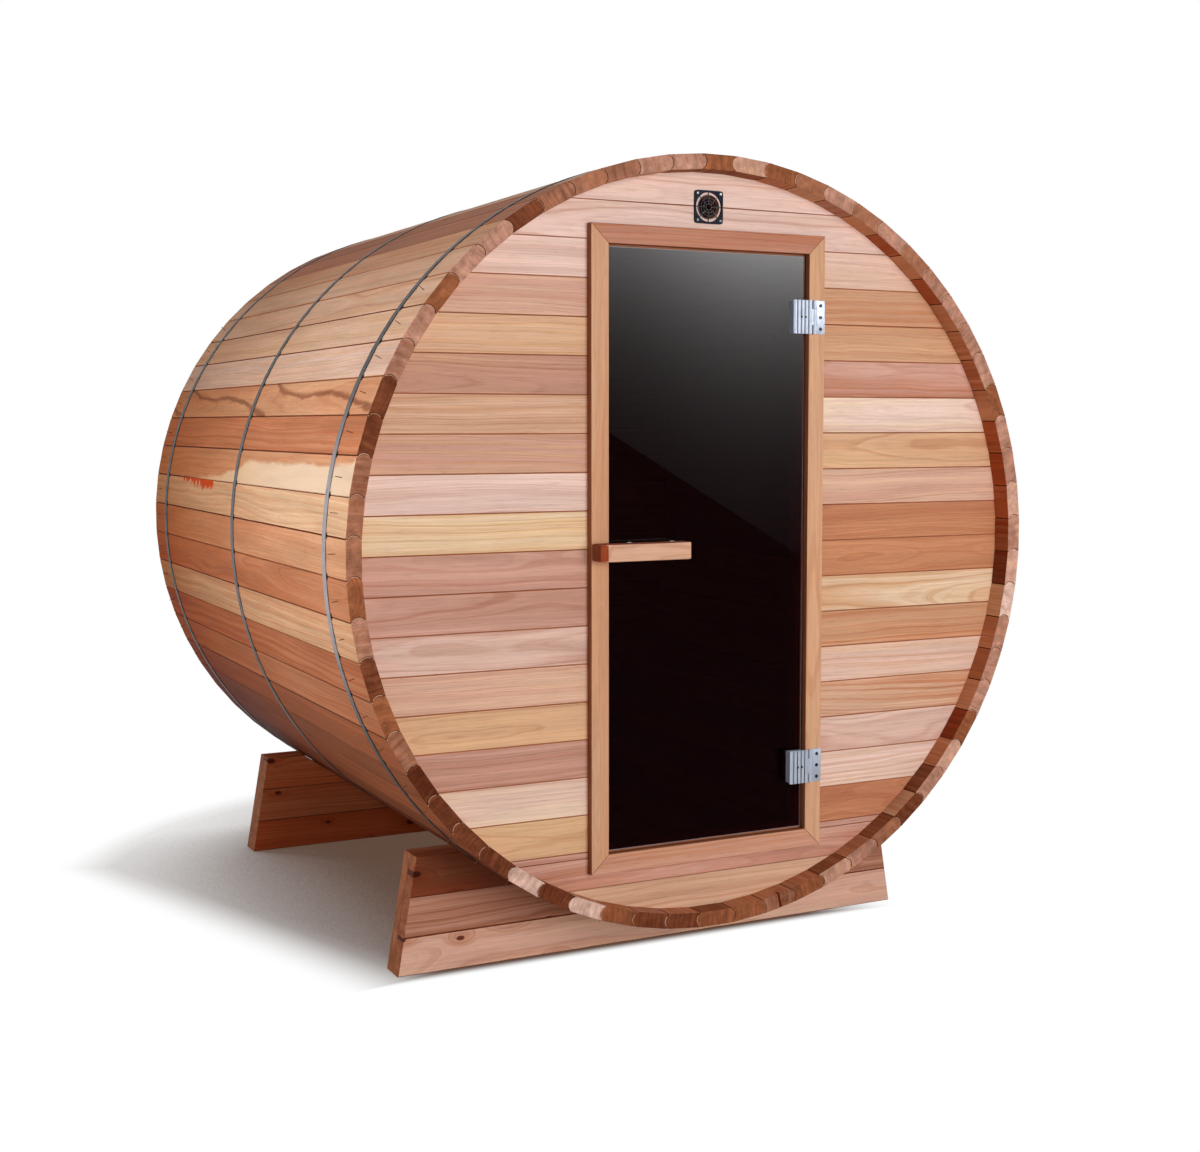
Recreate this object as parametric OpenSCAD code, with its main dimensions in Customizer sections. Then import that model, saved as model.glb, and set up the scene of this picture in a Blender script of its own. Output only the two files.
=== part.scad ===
// Barrel sauna: bead-and-cove staves hooped with steel bands, two end walls let
// into croze grooves, a framed glass door on side hinges, and two laminated cradles.
// Millimetres. X is right, Y runs from the door end to the back, Z is up from the ground.

/* [Barrel] */
// Outside diameter across the corners of the staves
barrel_d = 1800; // [1600:10:2200]
// Length of the staves from rim to rim
barrel_len = 1890; // [1600:10:2400]
// Height of the lowest stave above the ground
barrel_lift = 100; // [95:1:160]
// Number of staves around the barrel
stave_count = 64; // [56:2:72]
// Thickness of a stave
stave_t = 35; // [32:0.5:42]
// Gap left in the joint between two staves
stave_gap = 0.4; // [0.3:0.1:0.8]
// Radius of the bead on a stave's upper edge
bead_r = 17; // [13:0.5:18]
// How far the bead stands out of the stave's edge
bead_rise = 9; // [6:0.5:11]

/* [End walls] */
// Thickness of the wall boards
wall_t = 38; // [32:1:45]
// Distance of the front wall behind the front rim
front_recess = 53; // [45:1:90]
// Distance of the rear wall in front of the rear rim
rear_recess = 53; // [45:1:90]
// Depth of the croze groove that holds a wall
croze_depth = 10; // [6:1:14]
// Clearance of the walls and the door lining in their seats
wall_fit = 0.2; // [0.1:0.05:0.3]

/* [Bands] */
// Width of a steel band
band_w = 25; // [15:1:40]
// Thickness of a steel band
band_t = 1.2; // [0.8:0.1:2]
// Distance of the outer bands from the rims
band_inset = 150; // [120:1:200]
// Clearance of the bands and the cradles under the stave corners
barrel_fit = 0.2; // [0.1:0.05:0.3]
// Length of the bent lug at each end of a band
lug_len = 30; // [24:1:40]
// Space between the two lugs of a band
lug_space = 40; // [25:1:60]
// Diameter of the bolt that draws a band tight
bolt_d = 8; // [6:1:10]

/* [Door frame] */
// Width of the mitred trim
trim_w = 44; // [36:1:60]
// How far the trim stands out of the front wall
trim_proud = 22; // [20:1:30]
// Wall left between the trim and the staves above the door
head_room = 131; // [110:1:200]
// Wall left between the trim and the staves below the door
sill_room = 115; // [80:1:200]
// Thickness of the lining in the doorway
lining_t = 24; // [18:1:30]
// How far the glass laps over the lining
stop_lap = 10; // [6:1:20]
// Gap between the closed glass and the lining
stop_gap = 5; // [5:0.5:8]

/* [Door] */
// Width of the glass
glass_w = 528; // [480:5:600]
// Thickness of the glass
glass_t = 8; // [6:1:10]
// Gap between the glass and the trim
glass_gap = 5; // [5:0.5:8]

/* [Hinges] */
// Height of a hinge
hinge_h = 80; // [70:1:100]
// Distance of the upper hinge's middle below the top of the glass
hinge_top_inset = 145; // [100:1:200]
// Distance of the lower hinge's middle above the bottom of the glass
hinge_bottom_inset = 152; // [100:1:200]
// Width of the clamp on the glass
clamp_w = 45; // [36:1:60]
// Thickness of the hinge leaves
leaf_t = 4; // [3:0.5:5]
// Diameter of the knuckle
knuckle_d = 11; // [10:0.5:13]
// Diameter of the hinge pin
pin_d = 6; // [5:0.5:7]
// Diameter of the clamp's bolt through the glass
clamp_bolt_d = 10; // [8:1:14]

/* [Handle] */
// Length of the handle bar
handle_len = 230; // [190:2:260]
// Height of the handle bar
handle_h = 40; // [32:1:50]
// Depth of the handle bar from front to back
handle_t = 38; // [28:1:44]
// Finger room between the bar and the glass
grip_room = 30; // [26:1:40]
// Distance of the bar's middle below the barrel's axis
handle_drop = 5; // [0:1:40]
// Radius of the bar's outer corner beside the trim
handle_round = 16; // [8:1:18]
// Diameter of the rosettes on the glass
rosette_d = 38; // [26:1:44]
// Diameter of the spacers that carry the bar
spacer_d = 16; // [12:1:24]
// Distance between the two spacers
spacer_pitch = 112; // [80:1:130]

/* [Vent] */
// Width and height of the vent plate
vent_w = 76; // [70:1:100]
// Thickness of the vent plate
vent_t = 5; // [4:0.5:8]
// Distance of the vent plate above the trim
vent_gap = 15; // [8:1:24]
// Diameter of the opening in the vent plate
vent_open_d = 68; // [60:1:70]
// Diameter of the ringed grille inside that opening
vent_ring_d = 56; // [46:1:58]
// Number of rings in the grille
vent_ring_count = 4; // [3:1:5]
// Width of the grille's rings and spokes
vent_bar_w = 2; // [1.5:0.1:3]
// Diameter of the hole through the wall
vent_hole_d = 52; // [40:1:56]

/* [Cradles] */
// Length of a cradle on the ground
cradle_base_w = 1400; // [1300:2:1600]
// Length of a cradle along its top
cradle_top_w = 1306; // [1240:2:1400]
// Height of a cradle
cradle_h = 280; // [240:2:320]
// Height of the lower board of a cradle
base_board_h = 90; // [70:1:94]
// Thickness of one of the two layers of a cradle
layer_t = 38.5; // [30:0.5:50]
// Distance of the cradles from the rims
cradle_inset = 267; // [230:2:400]

/* [Hidden] */
$fn = 96;
// Facets of the circles around the barrel's axis
ring_fn = 192;
// Overcut that keeps a tool clear of the face it cuts through
over = 1;

barrel_r = barrel_d / 2;
axis_z = barrel_lift + barrel_r;
pitch = 360 / stave_count;
outer_flat = barrel_r * cos(pitch / 2);
inner_flat = outer_flat - stave_t;
bead_mid = (outer_flat + inner_flat) / 2;
croze_floor = inner_flat + croze_depth;
wall_r = croze_floor - wall_fit;

// Angles from the top at which one group of staves ends and the next begins
roof_end = 25;
upper_end = 70;
side_end = 110;
lower_end = 155;

// Doorway, worked out from the barrel and the glass
trim_z0 = axis_z - inner_flat + sill_room;
trim_z1 = axis_z + inner_flat - head_room;
door_z = (trim_z0 + trim_z1) / 2;
frame_inner_w = glass_w + 2 * glass_gap;
frame_inner_h = trim_z1 - trim_z0 - 2 * trim_w;
glass_h = frame_inner_h - 2 * glass_gap;
vent_z = trim_z1 + vent_gap + vent_w / 2;
lining_inner_w = glass_w - 2 * stop_lap;
lining_inner_h = glass_h - 2 * stop_lap;
lining_outer_w = lining_inner_w + 2 * lining_t;
lining_outer_h = lining_inner_h + 2 * lining_t;
wall_hole_w = lining_outer_w + 2 * wall_fit;
wall_hole_h = lining_outer_h + 2 * wall_fit;

// The handle reaches beyond the front rim, and the overall length is centred on Y = 0
handle_out = max(0, grip_room + handle_t + glass_t - front_recess);
front_y = (handle_out - barrel_len) / 2;
back_y = front_y + barrel_len;
wall_front_y = front_y + front_recess;
wall_back_y = wall_front_y + wall_t;
rear_wall_y = back_y - rear_recess - wall_t;
trim_front_y = wall_front_y - trim_proud;
glass_back_y = wall_front_y;
glass_front_y = glass_back_y - glass_t;
handle_front_y = glass_front_y - grip_room - handle_t;

// Hinge, with its axis in front of the trim and its clamp on the glass
knuckle_gap = 0.5;
pin_fit = 0.05;
hinge_axis_x = frame_inner_w / 2 + knuckle_d;
hinge_axis_y = trim_front_y - knuckle_d / 2 - knuckle_gap;
hinge_z = [door_z + glass_h / 2 - hinge_top_inset, door_z - glass_h / 2 + hinge_bottom_inset];
knuckle_mid_h = hinge_h / 2;
clamp_x1 = glass_w / 2;
clamp_x0 = clamp_x1 - clamp_w;
clamp_plate_gap = 3;
clamp_plate_x1 = hinge_axis_x - knuckle_d / 2 - clamp_plate_gap;
clamp_plate_w = clamp_plate_x1 - clamp_x0;
clamp_pad_y = hinge_axis_y + knuckle_d / 2 - leaf_t;
clamp_pad_inset = 2;
clamp_pad_h = hinge_h - 2 * clamp_pad_inset;
clamp_rib_count = 5;
clamp_back_t = 5;
clamp_back_w = clamp_w - stop_lap - glass_gap;
clamp_bolt_x = clamp_x0 + clamp_back_w / 2;
clamp_fit = 0.2;

handle_x0 = -frame_inner_w / 2 - trim_w;
handle_z = axis_z - handle_drop;
handle_edge_r = 5;
spacer_end = 14;
handle_block_w = trim_w - stop_gap;
handle_block_back_y = trim_front_y - glass_gap;
spacer_x = handle_x0 + handle_len - spacer_end;
rosette_t = 3;

cradle_y = [front_y + cradle_inset, back_y - cradle_inset - 2 * layer_t];
layer_gap = 0.2;
band_y = [front_y + band_inset, (front_y + back_y) / 2, back_y - band_inset];
band_inner_r = barrel_r + barrel_fit;
lug_t = 2 * band_t;
lug_x = lug_space / 2;
lug_top = axis_z - sqrt(pow(band_inner_r, 2) - pow(lug_x, 2));
bolt_z = lug_top - lug_len / 2;
bolt_head_d = 1.8 * bolt_d;
bolt_head_t = 0.65 * bolt_d;

// Half the width of a stave at a distance r from the barrel's axis, less its share of the gap
function stave_half(r) = r * tan(pitch / 2) - stave_gap / 2 / cos(pitch / 2);

// Angle of stave k from the top, from -180 to 180 degrees, positive to the right
function stave_angle(k) = k <= stave_count / 2 ? k * pitch : (k - stave_count) * pitch;

// Circle of the bead in the joint on one side of a stave: side is 1 or -1. The bead belongs
// to this stave when own is 1, and to its neighbour when own is -1.
module bead_circle(side, own) {
    shift = own * (bead_r - bead_rise);
    translate([side * (bead_mid * tan(pitch / 2) - shift * cos(pitch / 2)),
               bead_mid + shift * sin(pitch / 2)])
        circle(r = bead_r - own * stave_gap / 2);
}

// Section of a stave with a bead or a cove on each side, its outer face up
module stave_section(left_bead, right_bead) {
    difference() {
        union() {
            polygon([[stave_half(outer_flat), outer_flat], [-stave_half(outer_flat), outer_flat],
                     [-stave_half(inner_flat), inner_flat], [stave_half(inner_flat), inner_flat]]);
            if (left_bead) bead_circle(-1, 1);
            if (right_bead) bead_circle(1, 1);
        }
        if (!left_bead) bead_circle(-1, -1);
        if (!right_bead) bead_circle(1, -1);
    }
}

// Straight groove across the inside of a stave for an end wall that starts at y
module croze(y) {
    reach = 2 * stave_half(outer_flat);
    translate([-reach, y - wall_fit, inner_flat - over])
        cube([2 * reach, wall_t + 2 * wall_fit, croze_depth + over]);
}

// One stave in its place, its bead towards the top of the barrel
module stave(angle) {
    bottom = abs(angle) == 180;
    translate([0, 0, axis_z])
    rotate([0, angle, 0])
    difference() {
        translate([0, back_y, 0])
        rotate([90, 0, 0])
        linear_extrude(barrel_len)
        stave_section(angle > 0 || bottom, angle < 0 || bottom);
        croze(wall_front_y);
        croze(rear_wall_y);
    }
}

// All staves whose angle lies between two limits
module stave_group(from, to) {
    for (k = [0 : stave_count - 1])
        if (stave_angle(k) > from && stave_angle(k) < to) stave(stave_angle(k));
}

module roof_staves() { color("#b98d6e") stave_group(-roof_end, roof_end); }
module upper_left_staves() { color("#a87c5f") stave_group(-upper_end, -roof_end); }
module upper_right_staves() { color("#a87c5f") stave_group(roof_end, upper_end); }
module side_left_staves() { color("#c99a6c") stave_group(-side_end, -upper_end); }
module side_right_staves() { color("#c99a6c") stave_group(upper_end, side_end); }
module lower_left_staves() { color("#b5794e") stave_group(-lower_end, -side_end); }
module lower_right_staves() { color("#b5794e") stave_group(side_end, lower_end); }
module floor_staves() {
    color("#96603f") {
        stave_group(lower_end, 180 + pitch);
        stave_group(-180 - pitch, -lower_end);
    }
}

// Steel band around the staves, its ends bent down under the barrel as bolted lugs
module band(y) {
    color("#55514c") difference() {
        union() {
            translate([0, y + band_w / 2, axis_z])
            rotate([90, 0, 0])
            difference() {
                cylinder(r = band_inner_r + band_t, h = band_w, $fn = ring_fn);
                translate([0, 0, -over]) cylinder(r = band_inner_r, h = band_w + 2 * over, $fn = ring_fn);
                translate([-lug_x, -barrel_d, -over]) cube([lug_space, barrel_d, band_w + 2 * over]);
            }
            for (side = [-1, 1])
                translate([side > 0 ? lug_x : -lug_x - lug_t, y - band_w / 2, lug_top - lug_len])
                    cube([lug_t, band_w, lug_len]);
        }
        translate([0, y, bolt_z])
            rotate([0, 90, 0])
            cylinder(d = bolt_d + 2 * barrel_fit, h = lug_space * 2, center = true);
    }
}
module front_band() { band(band_y[0]); }
module middle_band() { band(band_y[1]); }
module rear_band() { band(band_y[2]); }

// Bolts through the lugs, each with a hexagon head and a nut
module band_bolts() {
    seat = lug_x + lug_t;
    color("#8f8f8c") for (y = band_y)
        translate([0, y, bolt_z])
        rotate([0, 90, 0]) {
            translate([0, 0, -seat]) cylinder(d = bolt_d, h = 2 * seat + 2 * bolt_head_t);
            translate([0, 0, -seat - bolt_head_t]) cylinder(d = bolt_head_d, h = bolt_head_t, $fn = 6);
            translate([0, 0, seat]) cylinder(d = bolt_head_d, h = bolt_head_t, $fn = 6);
        }
}

// Round end wall that starts at y
module end_disc(y) {
    translate([0, y + wall_t, axis_z])
        rotate([90, 0, 0])
        cylinder(r = wall_r, h = wall_t, $fn = ring_fn);
}

// The part of the front wall inside a box from one corner to the other
module front_wall_piece(from, to) {
    intersection() {
        end_disc(wall_front_y);
        translate([from[0], wall_front_y - over, from[1]])
            cube([to[0] - from[0], wall_t + 2 * over, to[1] - from[1]]);
    }
}

hole_x = wall_hole_w / 2;
hole_z0 = door_z - wall_hole_h / 2;
hole_z1 = door_z + wall_hole_h / 2;
module front_wall_left() {
    color("#d3a886") front_wall_piece([-barrel_r, hole_z0 + wall_fit], [-hole_x, hole_z1 - wall_fit]);
}
module front_wall_right() {
    color("#d3a886") front_wall_piece([hole_x, hole_z0 + wall_fit], [barrel_r, hole_z1 - wall_fit]);
}
module front_wall_top() {
    color("#d9b193") difference() {
        front_wall_piece([-barrel_r, hole_z1], [barrel_r, axis_z + barrel_r]);
        translate([0, wall_back_y + over, vent_z])
            rotate([90, 0, 0])
            cylinder(d = vent_hole_d, h = wall_t + 2 * over);
    }
}
module front_wall_sill() {
    color("#cfa07c") front_wall_piece([-barrel_r, axis_z - barrel_r], [barrel_r, hole_z0]);
}
module rear_wall() { color("#d3a886") end_disc(rear_wall_y); }

// One side of the mitred door trim: half is half the clear opening beside it, run is half
// the opening along it
module trim_side(half, run) {
    joint = wall_fit / 2;
    rotate([90, 0, 0])
        linear_extrude(trim_proud)
        polygon([[half, run - joint], [half, -run + joint],
                 [half + trim_w, -run - trim_w + joint], [half + trim_w, run + trim_w - joint]]);
}
module trim_at(turn, half, run) {
    translate([0, wall_front_y, door_z]) rotate([0, turn, 0]) trim_side(half, run);
}
module trim_right() { color("#c08a62") trim_at(0, frame_inner_w / 2, frame_inner_h / 2); }
module trim_left() { color("#c08a62") trim_at(180, frame_inner_w / 2, frame_inner_h / 2); }
module trim_top() { color("#c08a62") trim_at(-90, frame_inner_h / 2, frame_inner_w / 2); }
module trim_bottom() { color("#c08a62") trim_at(90, frame_inner_h / 2, frame_inner_w / 2); }

// Lining boards of the doorway, set back so that the glass closes in front of them
lining_y = wall_front_y + stop_gap;
lining_depth = wall_t - stop_gap;
module lining_upright(x) {
    translate([x, lining_y, door_z - lining_inner_h / 2 + wall_fit])
        cube([lining_t, lining_depth, lining_inner_h - 2 * wall_fit]);
}
module lining_level(z) {
    translate([-lining_outer_w / 2, lining_y, z]) cube([lining_outer_w, lining_depth, lining_t]);
}
module lining_left() { color("#9a6240") lining_upright(-lining_outer_w / 2); }
module lining_right() { color("#9a6240") lining_upright(lining_inner_w / 2); }
module lining_head() { color("#9a6240") lining_level(door_z + lining_inner_h / 2); }
module lining_threshold() { color("#9a6240") lining_level(door_z - lining_outer_h / 2); }

// Hinge leaf screwed to the trim, with the two end knuckles and the pin
module hinge_leaf(z) {
    leaf_edge = 2;
    leaf_x1 = frame_inner_w / 2 + trim_w - leaf_edge;
    color("#b9bbbc") translate([0, 0, z]) {
        difference() {
            union() {
                translate([hinge_axis_x, trim_front_y - leaf_t, -hinge_h / 2])
                    cube([leaf_x1 - hinge_axis_x, leaf_t, hinge_h]);
                translate([hinge_axis_x, hinge_axis_y, -hinge_h / 2]) cylinder(d = knuckle_d, h = hinge_h);
            }
            translate([hinge_axis_x, hinge_axis_y, -knuckle_mid_h / 2])
                cylinder(d = knuckle_d + 2 * knuckle_gap, h = knuckle_mid_h);
        }
        translate([hinge_axis_x, hinge_axis_y, -hinge_h / 2]) cylinder(d = pin_d, h = hinge_h);
    }
}
module upper_hinge_leaf() { hinge_leaf(hinge_z[0]); }
module lower_hinge_leaf() { hinge_leaf(hinge_z[1]); }

// Hinge clamp on the glass: ribbed front plate on a pad, bolt, back plate and the middle knuckle
module hinge_clamp(z) {
    rib_w = clamp_plate_w / clamp_rib_count;
    rib_d = 0.9 * rib_w;
    mid_h = knuckle_mid_h - 2 * knuckle_gap;
    plate_y = clamp_pad_y - leaf_t;
    color("#c6c8c9") translate([0, 0, z]) difference() {
        union() {
            translate([0, 0, -hinge_h / 2]) linear_extrude(hinge_h) {
                translate([clamp_x0, plate_y]) square([clamp_plate_w, leaf_t]);
                difference() {
                    for (i = [0 : clamp_rib_count - 1])
                        translate([clamp_x0 + (i + 0.5) * rib_w, plate_y + leaf_t / 2]) circle(d = rib_d);
                    translate([clamp_x0, plate_y + leaf_t / 2]) square([clamp_plate_w, rib_d]);
                }
            }
            translate([clamp_x0 + clamp_pad_inset, clamp_pad_y - over, -clamp_pad_h / 2])
                cube([clamp_w - clamp_pad_inset, glass_front_y - clamp_pad_y + over, clamp_pad_h]);
            translate([clamp_plate_x1 - over, plate_y, -mid_h / 2])
                cube([hinge_axis_x - clamp_plate_x1 + over, leaf_t, mid_h]);
            translate([hinge_axis_x, hinge_axis_y, -mid_h / 2]) cylinder(d = knuckle_d, h = mid_h);
            translate([clamp_bolt_x, glass_back_y + clamp_back_t, 0])
                rotate([90, 0, 0])
                cylinder(d = clamp_bolt_d, h = clamp_back_t + glass_t + leaf_t);
            translate([clamp_x0, glass_back_y, -hinge_h / 2]) cube([clamp_back_w, clamp_back_t, hinge_h]);
        }
        translate([hinge_axis_x, hinge_axis_y, -hinge_h]) cylinder(d = pin_d + 2 * pin_fit, h = 2 * hinge_h);
    }
}
module upper_hinge_clamp() { hinge_clamp(hinge_z[0]); }
module lower_hinge_clamp() { hinge_clamp(hinge_z[1]); }

// Sheet of tinted glass, drilled for the clamps and the handle
module door_glass() {
    color("#1d1b1a", 0.7) difference() {
        translate([-glass_w / 2, glass_front_y, door_z - glass_h / 2]) cube([glass_w, glass_t, glass_h]);
        for (z = hinge_z)
            translate([clamp_bolt_x, glass_back_y + over, z])
                rotate([90, 0, 0])
                cylinder(d = clamp_bolt_d + 2 * clamp_fit, h = glass_t + 2 * over);
    }
}

// Rectangle with rounded corners from one corner to the other
module round_rect(from, to, r) {
    size = to - from;
    translate(from) {
        translate([r, 0]) square([size[0] - 2 * r, size[1]]);
        translate([0, r]) square([size[0], size[1] - 2 * r]);
        for (x = [r, size[0] - r])
            for (y = [r, size[1] - r])
                translate([x, y]) circle(r = r);
    }
}

// Wooden pull across the edge of the door, deeper where it laps over the trim
module door_handle() {
    color("#8a4f2c") translate([0, 0, handle_z - handle_h / 2]) linear_extrude(handle_h) {
        round_rect([handle_x0, handle_front_y],
                   [handle_x0 + handle_block_w, handle_block_back_y], handle_round);
        translate([handle_x0, handle_block_back_y - handle_round])
            square([handle_block_w, handle_round]);
        round_rect([handle_x0 + handle_round, handle_front_y],
                   [handle_x0 + handle_len, handle_front_y + handle_t], handle_edge_r);
    }
}

// Round metal spacers with rosettes that hold the pull off the glass
module handle_spacers() {
    color("#c9cbcc") for (i = [0, 1])
        translate([spacer_x - i * spacer_pitch, glass_front_y, handle_z])
        rotate([90, 0, 0]) {
            cylinder(d = spacer_d, h = grip_room);
            cylinder(d = rosette_d, h = rosette_t);
        }
}

// Square vent plate with a ringed grille held in its opening by spokes
module vent_grille() {
    corner_r = 6;
    color("#1c1c1c") translate([0, wall_front_y, vent_z])
    rotate([90, 0, 0])
    linear_extrude(vent_t) {
        difference() {
            round_rect([-vent_w / 2, -vent_w / 2], [vent_w / 2, vent_w / 2], corner_r);
            circle(d = vent_open_d);
        }
        for (i = [1 : vent_ring_count])
            difference() {
                circle(d = vent_ring_d * i / vent_ring_count);
                circle(d = vent_ring_d * i / vent_ring_count - 2 * vent_bar_w);
            }
        for (turn = [0, 45, 90, 135])
            rotate(turn) square([vent_open_d + vent_bar_w, vent_bar_w], center = true);
    }
}

// Outline of a cradle between two heights, hollowed to the barrel
module cradle_outline(z0, z1) {
    half = function(z) (cradle_base_w + (cradle_top_w - cradle_base_w) * z / cradle_h) / 2;
    difference() {
        polygon([[-half(z0), z0], [half(z0), z0], [half(z1), z1], [-half(z1), z1]]);
        translate([0, axis_z]) circle(r = band_inner_r, $fn = ring_fn);
    }
}

// Two layers of one course of a cradle, side by side from y
module cradle_course(y, z0, z1) {
    for (i = [0, 1])
        translate([0, y + layer_t * (i + 1), 0])
        rotate([90, 0, 0])
        linear_extrude(layer_t - layer_gap)
        cradle_outline(z0, z1);
}
module front_cradle_base() { color("#b77e52") cradle_course(cradle_y[0], 0, base_board_h); }
module front_cradle_saddle() {
    color("#7c4527") cradle_course(cradle_y[0], base_board_h + layer_gap, cradle_h);
}
module rear_cradle_base() { color("#8a4c2b") cradle_course(cradle_y[1], 0, base_board_h); }
module rear_cradle_saddle() {
    color("#7c4527") cradle_course(cradle_y[1], base_board_h + layer_gap, cradle_h);
}

roof_staves();
upper_left_staves();
upper_right_staves();
side_left_staves();
side_right_staves();
lower_left_staves();
lower_right_staves();
floor_staves();
front_band();
middle_band();
rear_band();
band_bolts();
front_wall_left();
front_wall_right();
front_wall_top();
front_wall_sill();
rear_wall();
trim_left();
trim_right();
trim_top();
trim_bottom();
lining_left();
lining_right();
lining_head();
lining_threshold();
upper_hinge_leaf();
lower_hinge_leaf();
upper_hinge_clamp();
lower_hinge_clamp();
door_glass();
door_handle();
handle_spacers();
vent_grille();
front_cradle_base();
front_cradle_saddle();
rear_cradle_base();
rear_cradle_saddle();
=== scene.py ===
import math
import random

import bmesh
import bpy
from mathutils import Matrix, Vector


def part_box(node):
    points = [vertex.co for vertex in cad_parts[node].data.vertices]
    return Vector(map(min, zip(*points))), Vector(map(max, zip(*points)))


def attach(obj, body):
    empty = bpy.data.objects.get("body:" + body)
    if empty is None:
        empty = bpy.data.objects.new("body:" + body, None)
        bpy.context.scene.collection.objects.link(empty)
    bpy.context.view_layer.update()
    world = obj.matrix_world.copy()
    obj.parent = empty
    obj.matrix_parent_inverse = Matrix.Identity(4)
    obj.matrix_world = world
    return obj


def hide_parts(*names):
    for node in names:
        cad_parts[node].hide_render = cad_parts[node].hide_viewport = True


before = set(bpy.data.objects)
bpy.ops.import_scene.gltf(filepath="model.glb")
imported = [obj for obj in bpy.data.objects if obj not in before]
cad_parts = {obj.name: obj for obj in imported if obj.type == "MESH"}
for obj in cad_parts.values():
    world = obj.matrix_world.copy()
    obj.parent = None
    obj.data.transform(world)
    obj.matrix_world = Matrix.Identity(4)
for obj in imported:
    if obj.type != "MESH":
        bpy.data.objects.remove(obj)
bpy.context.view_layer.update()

# Cradles: two laminated saddles of red cedar that carry the barrel. Each is two layers of a low
# straight board with a hollowed board on top, glued face to face; the ends are sawn at a slope.
lot = random.Random(1864)
X, Y, Z = Vector((1, 0, 0)), Vector((0, 1, 0)), Vector((0, 0, 1))
ORIGIN = Vector((0, 0, 0))
CEDAR = {
    "cream": (233, 207, 178), "blush": (224, 192, 178), "peach": (221, 182, 156),
    "honey": (217, 175, 136), "straw": (222, 187, 144), "tan": (207, 163, 131),
    "mauve": (190, 143, 124), "rose": (206, 160, 144), "amber": (198, 137, 100),
    "salmon": (184, 120, 90), "russet": (158, 97, 64), "umber": (124, 70, 46),
    "bark": (92, 44, 26), "ember": (150, 66, 34), "chestnut": (164, 112, 88), "garnet": (118, 50, 27),
    "seam": (112, 52, 33), "copper": (172, 84, 46), "apricot": (208, 157, 120), "orange": (198, 136, 100),
    "gold": (220, 183, 147), "brick": (176, 104, 68), "shell": (233, 204, 193),
}


def paint(rgb):
    """A colour as seen, 0 to 255, turned into the linear colour that a shader takes."""
    return tuple(c / 3294.6 if c < 10.3 else ((c / 255 + 0.055) / 1.055) ** 2.4 for c in rgb) + (1.0,)


def feed(tree, node, values):
    """Joins up or sets the inputs of a shader node."""
    for name, value in values.items():
        if isinstance(value, bpy.types.NodeSocket):
            tree.links.new(value, node.inputs[name])
        else:
            node.inputs[name].default_value = value


def put(tree, kind, values=None, **settings):
    """A shader node with its settings made and its inputs joined up or set."""
    made = tree.nodes.new("ShaderNode" + kind)
    for name, value in settings.items():
        setattr(made, name, value)
    feed(tree, made, values or {})
    return made


def sum_of(tree, how, *terms):
    return put(tree, "Math", dict(enumerate(terms)), operation=how).outputs[0]


def chain(tree, how, first, *others):
    """Several values taken together, two by two, by the same sum."""
    for other in others:
        first = sum_of(tree, how, first, other)
    return first


def times(tree, *values):
    return chain(tree, "MULTIPLY", *values)


def graded(tree, value, by, plus):
    return sum_of(tree, "MULTIPLY_ADD", value, by, plus)


def ramp(tree, value, low, high, start=0.0, end=1.0):
    """A value taken smoothly from start to end as it passes from low to high."""
    return put(tree, "MapRange", {"Value": value, "From Min": low, "From Max": high, "To Min": start,
                                  "To Max": end}, interpolation_type="SMOOTHSTEP").outputs[0]


def stretched(tree, vector, scale):
    return put(tree, "VectorMath", {0: vector, 1: scale}, operation="MULTIPLY").outputs[0]


def noise(tree, vector, detail=2.0, roughness=0.5, distortion=0.0):
    return put(tree, "TexNoise", {"Vector": vector, "Scale": 1.0, "Detail": detail, "Roughness": roughness,
                                  "Distortion": distortion}).outputs[0]


def banded(tree, place, detail):
    """Uneven bands along one measure, like the good and lean years of a tree."""
    return put(tree, "TexNoise", {"W": place, "Scale": 1.0, "Detail": detail, "Roughness": 0.62},
               noise_dimensions="1D").outputs[0]


def in_place(tree):
    return put(tree, "TexCoord").outputs["Object"]


def blended(tree, mask, first, second):
    """One colour where the mask is 0, another where it is 1."""
    return put(tree, "Mix", {0: mask, 6: first, 7: second}, data_type="RGBA").outputs[2]


def tinted(tree, colour, mask, tint):
    """The colour multiplied by a tint where the mask is 1."""
    return put(tree, "Mix", {0: mask, 6: colour, 7: tint}, data_type="RGBA", blend_type="MULTIPLY").outputs[2]


def scaled(tree, colour, value):
    return put(tree, "VectorMath", {0: colour, "Scale": value}, operation="SCALE").outputs[0]


def felt(tree, height, strength, depth):
    """The unevenness of a surface that can be felt."""
    return put(tree, "Bump", {"Height": height, "Strength": strength, "Distance": depth}).outputs[0]


def finish(name):
    """A new material with its nodes and its shader."""
    made = bpy.data.materials.new(name)
    made.use_nodes = True
    return made, made.node_tree, made.node_tree.nodes["Principled BSDF"]


def effect(name, inputs, outputs):
    """An empty node group with named inputs and outputs."""
    group = bpy.data.node_groups.new(name, "ShaderNodeTree")
    kinds = {"value": "NodeSocketFloat", "vector": "NodeSocketVector", "colour": "NodeSocketColor"}
    for label, kind in inputs:
        group.interface.new_socket(label, in_out="INPUT", socket_type=kinds[kind])
    for label, kind in outputs:
        group.interface.new_socket(label, in_out="OUTPUT", socket_type=kinds[kind])
    return group, group.nodes.new("NodeGroupInput").outputs, group.nodes.new("NodeGroupOutput").inputs


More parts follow.
